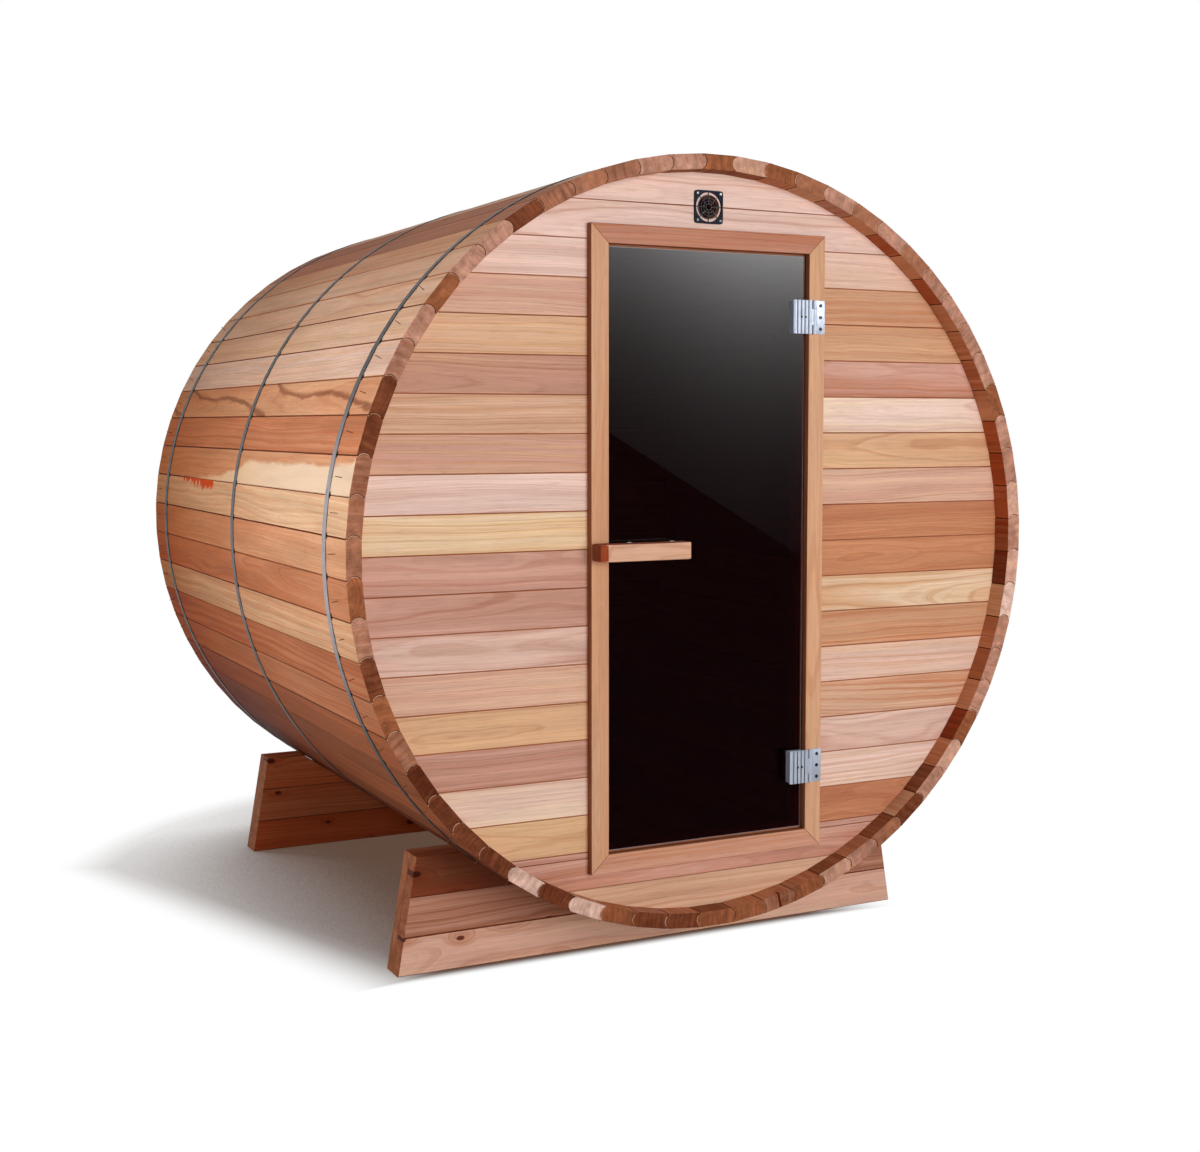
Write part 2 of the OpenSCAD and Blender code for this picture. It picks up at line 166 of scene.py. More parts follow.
# Solid cedar: growth rings around a pith that wanders along the log, streaks of heartwood and
# sapwood, fine fibres, pores and knots, all worked out from a point's place in its own log.
cedar_figure, wood, look = effect(
    "cedar_figure",
    [("Grain", "vector"), ("Figure", "vector"), ("Tone", "colour"), ("Streak", "colour"), ("Knots", "value")],
    [("Colour", "colour"), ("Roughness", "value"), ("Height", "value")])
t = cedar_figure
in_log = wood["Grain"]
share = put(t, "SeparateXYZ", {0: wood["Figure"]}).outputs
cell = put(t, "TexVoronoi", {"Vector": stretched(t, in_log, (7, 13, 0)), "Scale": 1.0},
           voronoi_dimensions="2D")
luck = put(t, "SeparateColor", {0: cell.outputs["Color"]}).outputs
has_knot = sum_of(t, "LESS_THAN", luck[0], wood["Knots"])
knot_size = ramp(t, luck[1], 0.0, 1.0, 0.05, 0.12)
knot_place = sum_of(t, "DIVIDE", cell.outputs["Distance"], knot_size)
knot = times(t, has_knot, ramp(t, knot_place, 1.05, 0.7))
halo = times(t, has_knot, ramp(t, knot_place, 4.5, 0.8))
wander = graded(t, noise(t, stretched(t, in_log, (1.0, 4, 4))), 0.07, -0.035)
ripple = graded(t, noise(t, stretched(t, in_log, (3.4, 14, 14))), 0.014, -0.007)
from_pith = put(t, "VectorMath", {0: stretched(t, in_log, (0, 1, 1))}, operation="LENGTH").outputs["Value"]
ring_place = sum_of(t, "ADD", sum_of(t, "ADD", from_pith, wander), ripple)
ring_place = graded(t, halo, 0.014, ring_place)
years = sum_of(t, "DIVIDE", ring_place, share[2])
sawn_end = sum_of(t, "GREATER_THAN", share[0], 1.5)
mix = sum_of(t, "SUBTRACT", share[0], sawn_end)
cloud = noise(t, stretched(t, in_log, (1.6, 11, 11)), 2.0)
flow = graded(t, cloud, 0.7, sum_of(t, "SUBTRACT", banded(t, years, 4.0), 0.35))
heart = ramp(t, flow, 0.33, 0.67)
flush = ramp(t, banded(t, graded(t, years, 0.45, 31.0), 3.0), 0.52, 0.64)
late = ramp(t, banded(t, times(t, years, 3.4), 3.0), 0.5, 0.68)
fibre = noise(t, stretched(t, in_log, (4.5, 190, 190)), 4.0, 0.62)
pore = ramp(t, noise(t, stretched(t, in_log, (22, 640, 640)), 1.0), 0.6, 0.72)
broad = noise(t, stretched(t, in_log, (0.7, 30, 30)), 4.0, 0.6)
mottle = noise(t, stretched(t, in_log, (1, 46, 46)), 3.0, 0.6)
colour = blended(t, times(t, heart, mix), wood["Tone"], wood["Streak"])
colour = tinted(t, colour, times(t, flush, share[1]), (0.84, 0.7, 0.64, 1))
colour = tinted(t, colour, times(t, late, share[1]), (0.72, 0.54, 0.45, 1))
colour = scaled(t, colour, graded(t, fibre, 0.5, 0.75))
colour = scaled(t, colour, graded(t, broad, 0.44, 0.8))
patchy = times(t, sum_of(t, "SUBTRACT", mottle, 0.5), sawn_end)
colour = scaled(t, colour, graded(t, patchy, 1.3, 1.0))
colour = tinted(t, colour, times(t, pore, 0.3), (0.6, 0.44, 0.36, 1))
colour = tinted(t, colour, times(t, halo, 0.45), (0.72, 0.48, 0.32, 1))
colour = tinted(t, colour, knot, (0.24, 0.12, 0.08, 1))
t.links.new(colour, look["Colour"])
t.links.new(graded(t, fibre, 0.24, 0.52), look["Roughness"])
raised = graded(t, late, 0.35, fibre)
t.links.new(graded(t, pore, -0.6, raised), look["Height"])


def cedar(name, knots, specular, depth):
    """Planed cedar: the figure of the log, a dull sheen and a grain that can be felt."""
    made, tree, shader = finish(name)
    layer = {label: put(tree, "Attribute", attribute_name=label).outputs
             for label in ("grain", "figure", "tone", "streak")}
    figure = put(tree, "Group", {"Grain": layer["grain"]["Vector"], "Figure": layer["figure"]["Vector"],
                                 "Tone": layer["tone"]["Color"], "Streak": layer["streak"]["Color"],
                                 "Knots": knots}, node_tree=cedar_figure).outputs
    feed(tree, shader, {"Base Color": figure["Colour"], "Roughness": figure["Roughness"],
                        "Normal": felt(tree, figure["Height"], 0.5, depth), "Specular IOR Level": specular})
    return made


def timber(*more):
    """An empty mesh with the layers that tell a board's place in its log, its tones and its figure."""
    bm = bmesh.new()
    for layer in ("grain", "figure", *more):
        bm.loops.layers.float_vector.new(layer)
    for layer in ("tone", "streak"):
        bm.loops.layers.float_color.new(layer)
    return bm


def board_wood(tone, streak, ends=("russet", "umber"), mix=0.8, contrast=0.45, rings=0.013, flat=0.5,
               **others):
    """The wood of one board: the tones of its faces and sawn ends, and where it lay in its log. Flat-sawn
    boards lie beside the pith and show arches, quarter-sawn ones lie in line with it and show stripes."""
    side, beside, deep = lot.choice((-1, 1)), lot.uniform(-0.03, 0.03), lot.uniform(0.04, 0.1)
    pith = (beside, side * deep) if lot.random() < flat else (side * deep * 2, beside)
    tones = {"face": (tone, streak), "end": ends, **others}
    return {"tones": {part: [paint(CEDAR[name]) for name in pair] for part, pair in tones.items()},
            "figure": (mix, contrast, rings * lot.uniform(0.8, 1.25)), "log": (lot.uniform(0, 60), *pith)}


def board_part(normal, along):
    """The part of a board that a face belongs to: a sawn end, an eased edge or a planed face."""
    if abs(normal[along]) > 0.6:
        return "end"
    return "edge" if sorted(abs(c) for c in normal)[1] > 0.3 else "face"


def pulled_in(outline, by):
    """The outline moved inwards by the same distance all round."""
    area = sum(a[0] * b[1] - b[0] * a[1] for a, b in zip(outline, outline[1:] + outline[:1]))
    turn = 1 if area > 0 else -1
    moved = []
    for i, here in enumerate(outline):
        before, after = Vector(outline[i - 1]), Vector(outline[(i + 1) % len(outline)])
        here = Vector(here)
        d0, d1 = (here - before).normalized(), (after - here).normalized()
        n0, n1 = Vector((-d0.y, d0.x)) * turn, Vector((-d1.y, d1.x)) * turn
        moved.append(tuple(here + (n0 + n1) * (by / max(0.35, 1 + n0.dot(n1)))))
    return moved


def oblong(p0, q0, p1, q1):
    return [(p0, q0), (p1, q0), (p1, q1), (p0, q1)]


def saw(bm, outline, lo, hi, axes, along, grown, ease=0.0015, steps=1, at=ORIGIN, lay=None,
        part_of=board_part):
    """A piece sawn to an outline on the first two axes and from lo to hi on the third, its edges eased.
    along says which of the three axes the grain runs along."""
    eased = []
    for i in range(steps + 1):
        a = i / steps * math.pi / 2
        eased.append((ease * (1 - math.cos(a)), ease * (1 - math.sin(a))))
    levels = [(lo + d, e) for d, e in eased] + [(hi - d, e) for d, e in reversed(eased)]
    local, loops = {}, []
    for s, e in levels:
        row = []
        for p, q in (pulled_in(outline, e) if e > 1e-7 else outline):
            v = bm.verts.new(at + axes[0] * p + axes[1] * q + axes[2] * s)
            local[v] = (p, q, s)
            row.append(v)
        loops.append(row)
    faces = [bm.faces.new(loops[0]), bm.faces.new(loops[-1])]
    n = len(outline)
    for low, high in zip(loops, loops[1:]):
        faces += [bm.faces.new((low[i], low[(i + 1) % n], high[(i + 1) % n], high[i])) for i in range(n)]
    bmesh.ops.recalc_face_normals(bm, faces=faces)
    if grown is None:
        return faces
    vectors, colours = bm.loops.layers.float_vector, bm.loops.layers.float_color
    order = [along] + [i for i in range(3) if i != along]
    middle = [sum(p[i] for p in local.values()) / len(local) for i in range(3)]
    for face in faces:
        face.normal_update()
        part = part_of([face.normal.dot(axis) for axis in axes], along)
        tone, streak = grown["tones"].get(part, grown["tones"]["face"])
        mix, contrast, rings = grown["figure"]
        for loop in face.loops:
            place = local[loop.vert]
            loop[vectors["grain"]] = [place[o] - middle[o] + shift for o, shift in zip(order, grown["log"])]
            loop[vectors["figure"]] = (1.6, 0.14, rings * 0.9) if part == "end" else (mix, contrast, rings)
            loop[colours["tone"]] = tone
            loop[colours["streak"]] = streak
            if lay is not None:
                loop[vectors["lay"]] = lay(place)
    return faces


def recoat(faces):
    """Gives faces the second material of their piece."""
    for face in faces:
        face.material_index = 1


def fit_up(bm, name, material, body, nodes=(), sharp=34):
    """The finished mesh as a piece of the object, on its body, in place of the plain solids."""
    mesh = bpy.data.meshes.new(name)
    bm.to_mesh(mesh)
    bm.free()
    mesh.polygons.foreach_set("use_smooth", [True] * len(mesh.polygons))
    mesh.set_sharp_from_angle(angle=math.radians(sharp))
    for m in (material if isinstance(material, tuple) else (material,)):
        mesh.materials.append(m)
    piece = bpy.data.objects.new(name, mesh)
    bpy.context.scene.collection.objects.link(piece)
    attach(piece, body)
    if nodes:
        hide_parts(*nodes)
    return piece


barrel_r, axis_z = 0.9, 1.0
hollow_r = barrel_r + 0.0006
glue_line, cradle_ease = 0.0004, 0.0018
cradle_cedar = cedar("cradle_cedar", 0.4, 0.15, 0.0008)
# Each layer's lower board first, then its upper boards. The dark upper boards of the front saddle are painted
# shade under the barrel
cradle_tones = {
    "front_cradle_base": [[("peach", "rose")], [("tan", "rose")]],
    "front_cradle_saddle": [[("chestnut", "mauve"), ("umber", "garnet")],
                            [("russet", "chestnut"), ("umber", "russet")]],
    "rear_cradle_base": [[("copper", "ember")], [("russet", "umber")]],
    "rear_cradle_saddle": [[("brick", "ember"), ("copper", "brick")],
                           [("ember", "garnet"), ("copper", "ember")]],
}
foot_x, top_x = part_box("front_cradle_base")[1].x, 0.653
slope = (foot_x - top_x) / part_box("front_cradle_saddle")[1].z


def end_x(z):
    """Half the length of a cradle at a height."""
    return foot_x - slope * z


def hollow(start_z, stop_z, floor_z, count=20):
    """Points down the right half of the hollow for the barrel, from one height to another."""
    a0, a1 = (math.acos(min(1.0, (axis_z - z) / hollow_r)) for z in (start_z, stop_z))
    angles = [a0 + (a1 - a0) * i / count for i in range(count + 1)]
    return [(hollow_r * math.sin(a), max(axis_z - hollow_r * math.cos(a), floor_z)) for a in angles]


for node, layers in cradle_tones.items():
    low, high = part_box(node)
    layer_t = (high.y - low.y) / 2
    joint_z = (low.z + high.z) / 2 if node.endswith("saddle") else high.z
    whole = [(-end_x(low.z), low.z), (end_x(low.z), low.z), (end_x(joint_z), joint_z)]
    uppers = []
    if joint_z < high.z:
        half = hollow(joint_z, axis_z - hollow_r, low.z + 0.004)
        whole += half + [(-p, q) for p, q in reversed(half[:-1])]
        upper = [(end_x(joint_z), joint_z), (end_x(high.z), high.z)] + hollow(high.z, joint_z, low.z)
        uppers = [upper, [(-p, q) for p, q in upper]]
    whole.append((-end_x(joint_z), joint_z))
    bm = timber()
    for i, tones in enumerate(layers):
        layer_y = low.y + i * layer_t
        for outline, pair in zip([whole, *uppers], [tones[0], tones[-1], tones[-1]]):
            grown = board_wood(*pair, mix=0.7, contrast=0.55, rings=0.016, edge=("seam", "umber"))
            saw(bm, outline, layer_y, layer_y + layer_t - glue_line, (X, Z, Y), 0, grown, cradle_ease)
    fit_up(bm, f"{node}_boards", cradle_cedar, "cabin", [node])

# Staves: 64 red cedar staves that close the barrel, milled with a bead on one edge and a cove on
# the other, outer corners eased, ends cut square. The beads point up so that rain runs off.
stave_count = 64
stave_pitch = 2 * math.pi / stave_count
stave_t = 0.035
stave_gap = 0.0004
bead_r, bead_rise, bead_steps = 0.017, 0.009, 12
corner_ease, arris = 0.0018, 0.0012
outer_flat = barrel_r * math.cos(stave_pitch / 2)
inner_flat = outer_flat - stave_t
front_y, back_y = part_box("roof_staves")[0].y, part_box("roof_staves")[1].y


def stave_edge(side, bead):
    """One edge of a stave's section from its outer corner to its inner one, with a bead or a cove."""
    lean = stave_pitch / 2
    mid = (outer_flat + inner_flat) / 2 / math.cos(lean)
    into = -stave_gap / 2

    def at(out, up):
        rho = mid + up
        return (side * (rho * math.sin(lean) + out * math.cos(lean)),
                rho * math.cos(lean) - out * math.sin(lean))

    half = stave_t / 2 / math.cos(lean)
    centre = bead_rise - bead_r if bead else bead_r - bead_rise
    radius = bead_r - stave_gap / 2 if bead else bead_r + stave_gap / 2
    span = math.acos((into - centre) / radius) if bead else math.acos((centre - into) / radius)
    points = [at(into - corner_ease, half), at(into, half - corner_ease)]
    for i in range(bead_steps + 1):
        a = span * (1 - 2 * i / bead_steps)
        out = centre + (radius if bead else -radius) * math.cos(a)
        points.append(at(out, radius * math.sin(a)))
    return points + [at(into, -half + arris), at(into - arris, -half)]


# Tones of the staves that show on the left, from the one under the roof to the one by the cradle. The lowest
# are toned darker, partly as painted shade under the barrel
left_tones = {
    -5: ("chestnut", "russet"), -6: ("chestnut", "salmon"), -7: ("tan", "amber"),
    -8: ("peach", "apricot"), -9: ("peach", "apricot"), -10: ("peach", "honey"),
    -11: ("peach", "blush"), -12: ("apricot", "orange"), -13: ("orange", "brick"),
    -14: ("apricot", "orange"), -15: ("gold", "apricot"), -16: ("apricot", "orange"),
    -17: ("orange", "brick"), -18: ("apricot", "gold"), -19: ("brick", "orange"),
    -20: ("orange", "brick"), -21: ("brick", "russet"), -22: ("russet", "umber"),
    -23: ("brick", "russet"), -24: ("russet", "umber"), -25: ("umber", "garnet"),
}
# Sets of staves, each up to an angle from the top
stave_sets = ((25, "roof"), (70, "upper_{}"), (110, "side_{}"), (155, "lower_{}"), (181, "floor"))
groups = {}
for k in range(-31, 33):
    away = abs(math.degrees(k * stave_pitch))
    group = next(name for limit, name in stave_sets if away < limit).format("left" if k < 0 else "right")
    groups.setdefault(group, []).append(k)

stave_cedar = cedar("stave_cedar", 0.012, 0.04, 0.0007)
tree = stave_cedar.node_tree
figure = next(n for n in tree.nodes if n.type == "GROUP")
shader = tree.nodes["Principled BSDF"]
lay = put(tree, "Attribute", attribute_name="lay").outputs["Vector"]
spot = put(tree, "SeparateXYZ", {0: lay}).outputs
colour = figure.outputs["Colour"]


def on_stave(k):
    return sum_of(tree, "COMPARE", spot[2], float(k), 0.5)


def curve(value, points):
    made = put(tree, "FloatCurve", {"Value": value})
    line = made.mapping.curves[0]
    while len(line.points) < len(points):
        line.points.new(0.5, 0.5)
    for point, place in zip(line.points, points):
        point.location = place
        point.handle_type = "AUTO"
    made.mapping.update()
    return graded(tree, made.outputs[0], 0.1, -0.05)


behind_rim = sum_of(tree, "GREATER_THAN", spot[0], 0.002)
ragged = noise(tree, stretched(tree, lay, (7, 30, 1)), 3.0, 0.6)
wavy = graded(tree, ragged, 0.03, -0.015)
across = sum_of(tree, "ADD", spot[1], wavy)
# Dark heartwood that zigzags down one stave
run = sum_of(tree, "FRACT", graded(tree, spot[0], -1 / 0.91, 1.717 / 0.91 + 1))
zigzag = curve(run, [(0, 0.98), (0.3, 0.58), (0.5, 0.62), (0.84, 0.27), (1, 0.06)])
off_line = sum_of(tree, "ABSOLUTE", sum_of(tree, "SUBTRACT", across, zigzag))
thick = graded(tree, ragged, 0.018, 0.001)
streaked = ramp(tree, sum_of(tree, "DIVIDE", off_line, thick), 1.1, 0.2)
streaked = times(tree, streaked, on_stave(-12), behind_rim, 0.85)
colour = tinted(tree, colour, streaked, (0.42, 0.3, 0.26, 1))
# Pale sapwood along the lower side of another
edge = curve(sum_of(tree, "DIVIDE", spot[0], back_y - front_y),
             [(0, 0.9), (0.1, 0.67), (0.18, 0.73), (0.3, 0.63), (0.41, 0.66), (0.5, 0.44), (0.6, 0.2),
              (1, 0)])
sap = ramp(tree, sum_of(tree, "SUBTRACT", edge, across), -0.006, 0.006)
sap = times(tree, sap, on_stave(-14), behind_rim, 0.85)
colour = blended(tree, sap, colour, paint(CEDAR["cream"]))
# Red resin stain that has run down from a joint
drip = noise(tree, stretched(tree, lay, (26, 0, 0)), 4.0, 0.7)
brim = put(tree, "MapRange", {"Value": spot[0], "From Min": 1.26, "From Max": 1.62, "To Min": 0.02,
                              "To Max": 0.046}).outputs[0]
brim = sum_of(tree, "ADD", brim, graded(tree, drip, 0.13, -0.065))
stain = ramp(tree, sum_of(tree, "SUBTRACT", spot[1], brim), 0.0, 0.002)
stain = times(tree, stain, on_stave(-15), ramp(tree, spot[0], 1.17, 1.18), ramp(tree, spot[0], 1.62, 1.6))
colour = blended(tree, stain, colour, paint((204, 76, 18)))
# Painted shadow: a black mark at each joint just in front of a band, where the gap under the band lies in
# shade
band_run, band_edge, gap_shadow_len = 0.795, 0.1375, 0.014
to_band = sum_of(tree, "SUBTRACT", spot[0], band_edge - gap_shadow_len)
to_band = times(tree, sum_of(tree, "FRACT", sum_of(tree, "DIVIDE", to_band, band_run)), band_run)
by_joint = ramp(tree, sum_of(tree, "ABSOLUTE", spot[1]), 0.034, 0.04)
band_gap_shadow = times(tree, sum_of(tree, "LESS_THAN", to_band, gap_shadow_len + 0.004), by_joint,
              ramp(tree, to_band, 0.002, 0.009))
colour = tinted(tree, colour, band_gap_shadow, (0.04, 0.04, 0.05, 1))
# Broad pale and dark patches. Towards the rear and low down the staves are darkened and reddened as painted
# shade
patch = noise(tree, stretched(tree, lay, (2.4, 20, 3.1)), 3.0, 0.6)
colour = scaled(tree, colour, graded(tree, patch, 0.5, 0.76))
# Painted shade towards the rear, except on three pale staves, and darker still at the far rear
from_roof = sum_of(tree, "ABSOLUTE", spot[2])
rear_painted_shade = times(tree, ramp(tree, spot[0], 0.3, 1.9), ramp(tree, from_roof, 8.5, 14.0, 0.35, 1.0))
for k in (-11, -15, -18):
    rear_painted_shade = times(tree, rear_painted_shade, graded(tree, on_stave(k), -0.5, 1.0))
colour = tinted(tree, colour, rear_painted_shade, (0.97, 0.65, 0.38, 1))
deep = times(tree, ramp(tree, spot[0], 1.3, 1.95), ramp(tree, from_roof, 11.0, 17.0))
colour = tinted(tree, colour, deep, (0.85, 0.62, 0.42, 1))
# Painted shade low down under the barrel, on both sides
low_painted_shade = times(tree, ramp(tree, from_roof, 19, 24.5), ramp(tree, spot[0], 0.25, 1.9, 0.15, 1.0))
colour = tinted(tree, colour, low_painted_shade, (0.26, 0.14, 0.1, 1))
feed(tree, shader, {"Base Color": colour})

hidden_tones = ("tan", "peach", "amber", "salmon", "mauve", "honey", "rose", "straw", "russet")
sawn_ends = {}
for ends, staves in (
        (("bark", "umber"), (-27, -22)), (("rose", "tan"), (15, 17, 23)), (("blush", "rose"), (-28, -26, 18)),
        (("umber", "bark"), (-31, -30, -25, -24, -23, -19, -13, -12, -6, 25)),
        (("chestnut", "umber"), (-21, -14, -5, -3, 30)), (("chestnut", "mauve"), (-18, -11, 8, 10)),
        (("russet", "umber"), (-29, -20, -17, -9, 0, 2, 12, 22, 29, 31, 32)),
        (("mauve", "chestnut"), (-10, -8, -7, -2, -1, 4, 6, 9, 11, 13, 14, 16, 19, 20, 21, 24, 27)),
        (("mauve", "tan"), (1, 28))):
    sawn_ends.update(dict.fromkeys(staves, ends))
# Tones for the inner faces: fresh ones where they are hidden, darker ones with painted shade where they show
fresh = (("tan", "amber"), ("umber", "russet"), ("orange", "brick"), ("russet", "umber"),
         ("salmon", "mauve"))
dark_inside_and_shade = (("ember", "garnet"), ("copper", "brick"), ("brick", "orange"), ("brick", "copper"),
             ("copper", "ember"))
# Inner faces of the staves that show past the right edge of the front wall, from high to low. Their dark red
# tones are partly the wood's own colour and partly painted shade of the recess
inside_tones = dict(enumerate((
    ("amber", "orange"), ("copper", "brick"), ("orange", "amber"), ("brick", "copper"), ("amber", "orange"),
    ("orange", "brick"), ("brick", "orange"), ("amber", "brick"), ("copper", "brick"), ("copper", "ember"),
    ("copper", "brick"), ("ember", "russet"), ("garnet", "umber"), ("apricot", "amber"), ("orange", "brick"),
    ("brick", "russet"), ("orange", "amber"), ("ember", "garnet"), ("orange", "brick")), 5))


def stave_part(bead_right, bead_left):
    """The part of a stave that a face belongs to. The arris of a bead carries a painted highlight, that of a
    cove is dark.
    """
    def part_of(normal, along):
        across, out, run = normal
        if abs(run) > 0.95:
            return "end"
        if abs(run) > 0.6:
            beaded = bead_right if across > 0 else bead_left
            return "end" if abs(out) > abs(across) else "pale_arris" if beaded else "dark_arris"
        if out < -0.3:
            return "inside" if out < -0.9 else "inner_edge"
        return "edge" if out < 0.95 else "face"
    return part_of


for group, members in groups.items():
    bm = timber("lay")
    for k in members:
        bottom, a = k == 32, k * stave_pitch
        outer = Vector((math.sin(a), 0, math.cos(a)))
        right = Vector((math.cos(a), 0, -math.sin(a)))
        bead_right, bead_left = k < 0 or bottom, k > 0 or bottom
        tones = left_tones.get(k) or (lot.choice(hidden_tones), lot.choice(hidden_tones))
        seam = lot.choice(("seam", "umber", "russet", "bark", "russet"))
        inside = lot.choice(dark_inside_and_shade if 8 < abs(k) < 20 else fresh)
        # The pale tone on the arris of a bead is a painted highlight
        grown = board_wood(*tones, sawn_ends.get(k, ("chestnut", "russet")), mix=0.7, contrast=0.3, flat=0.1,
                           edge=(seam, seam), inside=inside_tones.get(k, inside), inner_edge=("bark", "bark"),
                           dark_arris=("bark", "bark"), pale_arris=("peach", "tan"))

        def lay_of(place, k=k):
            return (place[2] - front_y, place[0], k)

        section = stave_edge(1, bead_right) + stave_edge(-1, bead_left)[::-1]
        saw(bm, section, front_y, back_y, (right, outer, Y), 2, grown, arris, at=Vector((0, 0, axis_z)),
            lay=lay_of, part_of=stave_part(bead_right, bead_left))
    fit_up(bm, f"{group}_stave_set", stave_cedar, "cabin", [f"{group}_staves"])

# End walls: level cedar boards, tongued together with eased edges and let into grooves in the
# staves. The front wall is cut for the doorway and drilled for the vent; the rear wall is whole.
board_h, board_gap, board_ease, board_rows = 0.0874, 0.0003, 0.0014, 21
first_seam = axis_z + 0.787
left_wall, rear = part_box("front_wall_left"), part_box("rear_wall")
wall_r = (rear[1].x - rear[0].x) / 2
door_hole_x = -left_wall[1].x
vent_mid = (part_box("vent_grille")[0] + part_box("vent_grille")[1]) / 2
vent_hole_r = 0.026
wall_cedar = cedar("wall_cedar", 0.008, 0.12, 0.0006)
front_tones = {
    "left": """shell blush, shell blush, shell blush, peach rose, honey peach, mauve tan, tan peach,
        rose tan, shell blush, straw cream, mauve rose, rose mauve, mauve blush, peach rose, honey tan,
        mauve rose, blush cream, honey straw, rose salmon, tan peach, tan amber""",
    "right": """shell blush, shell blush, blush peach, tan amber, tan apricot, rose salmon, shell cream,
        honey tan, peach rose, amber salmon, orange amber, honey cream, amber tan, peach blush, amber peach,
        blush rose, shell peach, salmon amber, rose salmon, tan peach, tan amber""",
}
front_rows = {hand: [tuple(pair.split()) for pair in text.split(",")] for hand, text in front_tones.items()}


def wall_x(z):
    return math.sqrt(max(0.0, wall_r ** 2 - (z - axis_z) ** 2))


def wall_board(bm, z0, z1, x0, x1, y0, y1, grown):
    """A board of an end wall between two heights. Its ends follow the barrel where x0 or x1 is None.
    The two boards of the front wall that meet behind the vent are notched for its hole."""
    z0, z1 = max(z0, axis_z - wall_r + 0.002), min(z1, axis_z + wall_r - 0.002)
    if z1 - z0 < 0.004:
        return
    heights = [z0 + (z1 - board_gap - z0) * i / 8 for i in range(9)]
    outline = [(wall_x(z) if x1 is None else x1, z) for z in heights]
    edge = next((z for z in (heights[-1], z0) if abs(z - vent_mid.z) < 0.006 and y0 < 0), None)
    notch = []
    if edge is not None:
        turn = -1 if edge > z0 else 1
        angles = [i / 12 * math.pi for i in range(13)]
        notch = [(vent_hole_r * math.cos(a), edge + turn * vent_hole_r * math.sin(a)) for a in angles]
    if edge == heights[-1]:
        outline += notch
    outline += [(-wall_x(z) if x0 is None else x0, z) for z in reversed(heights)]
    if edge is not None and edge == z0:
        outline += notch[::-1]
    saw(bm, outline, y0, y1, (X, Z, Y), 0, grown, board_ease)


seam_tones = ("salmon", "russet", "amber", "salmon", "brick")
rows = [(first_seam - board_h * row, first_seam - board_h * (row - 1)) for row in range(board_rows)]
pieces = {part: timber() for part in ("left", "right", "top", "sill")}
y0, y1 = left_wall[0].y, left_wall[1].y
door_low, door_high, sliver = left_wall[0].z, left_wall[1].z, 0.003
for row, (z0, z1) in enumerate(rows):
    grown = {hand: board_wood(*front_rows[hand][row], contrast=0.4, edge=(lot.choice(seam_tones), "russet"))
             for hand in ("left", "right")}
    if z0 > door_high - sliver:
        wall_board(pieces["top"], z0, z1, None, None, y0, y1, grown["left"])
    elif z1 < door_low + sliver:
        wall_board(pieces["sill"], z0, z1, None, None, y0, y1, grown["left"])
    else:
        low = max(z0, door_low)
        wall_board(pieces["left"], low, z1, None, -door_hole_x, y0, y1, grown["left"])
        wall_board(pieces["right"], low, z1, door_hole_x, None, y0, y1, grown["right"])
        if z0 < door_low:
            wall_board(pieces["sill"], z0, door_low, None, None, y0, y1, grown["left"])
for part, bm in pieces.items():
    fit_up(bm, f"front_wall_{part}_boards", wall_cedar, "cabin", [f"front_wall_{part}"])
bm = timber()
for row, (z0, z1) in enumerate(rows):
    grown = board_wood(*front_rows["right"][(row * 7 + 3) % 20], contrast=0.4,
                       edge=(lot.choice(seam_tones), "russet"))
    wall_board(bm, z0, z1, None, None, rear[0].y, rear[1].y, grown)
fit_up(bm, "rear_wall_boards", wall_cedar, "cabin", ["rear_wall"])

# Nails: headless wire nails through the staves into the edges of the end walls, left standing out
# of the wood. They are bare steel, browned by rust.
nail_r, nail_out = 0.0009, 0.0175


def rod(bm, start, way, radius, length, sides=10, cap=0.0):
    """A round rod from a point, with its far edge eased."""
    way = way.normalized()
    side = way.cross(Z if abs(way.z) < 0.9 else X).normalized()
    up = way.cross(side)
    turns = [i / sides * 2 * math.pi for i in range(sides)]
    circle = [(radius * math.cos(a), radius * math.sin(a)) for a in turns]
    return saw(bm, circle, 0.0, length, (side, up, way), 2, None, cap or radius * 0.12, at=start)


def metal(name, rgb, roughness, spread, depth, metallic=1.0, dirt=(0.5, 0.42, 0.36)):
    """Bare metal with fine scratches, and a dull bloom where it has been handled or wetted."""
    made, tree, shader = finish(name)
    place = in_place(tree)
    scratch = noise(tree, stretched(tree, place, (420, 420, 60)), 3.0, 0.6)
    bloom = ramp(tree, noise(tree, stretched(tree, place, (38, 38, 38)), 4.0, 0.65), 0.5, 0.72)
    shade = blended(tree, scratch, paint([c * 0.9 for c in rgb]), paint([min(255, c * 1.08) for c in rgb]))
    shade = tinted(tree, shade, times(tree, bloom, spread), (*dirt, 1))
    dull = graded(tree, bloom, 0.18, graded(tree, scratch, 0.2, roughness - 0.1))
    feed(tree, shader, {"Base Color": shade, "Roughness": dull, "Metallic": metallic,
                        "Normal": felt(tree, scratch, 0.3, depth)})
    return made


nail_steel = metal("nail_steel", (98, 66, 50), 0.5, 0.5, 0.0002, 0.4)
bm = bmesh.new()
for wall_mid in ((left_wall[0].y + left_wall[1].y) / 2, (rear[0].y + rear[1].y) / 2):
    for k in range(stave_count):
        a = k * stave_pitch + lot.uniform(-0.006, 0.012)
        if math.cos(a) > 0.7 or (wall_mid > 0 and math.cos(a) < -0.5):
            continue  # none on the roof, nor low down at the rear
        outer = Vector((math.sin(a), 0, math.cos(a)))
        tilt = (outer + Y * lot.uniform(-0.15, 0.15)).normalized()
        start = Vector((0, wall_mid + lot.uniform(-0.004, 0.004), axis_z)) + outer * (outer_flat - 0.002)
        rod(bm, start, tilt, nail_r, nail_out * lot.uniform(0.75, 1.1), 8)
fit_up(bm, "wall_nails", nail_steel, "cabin")
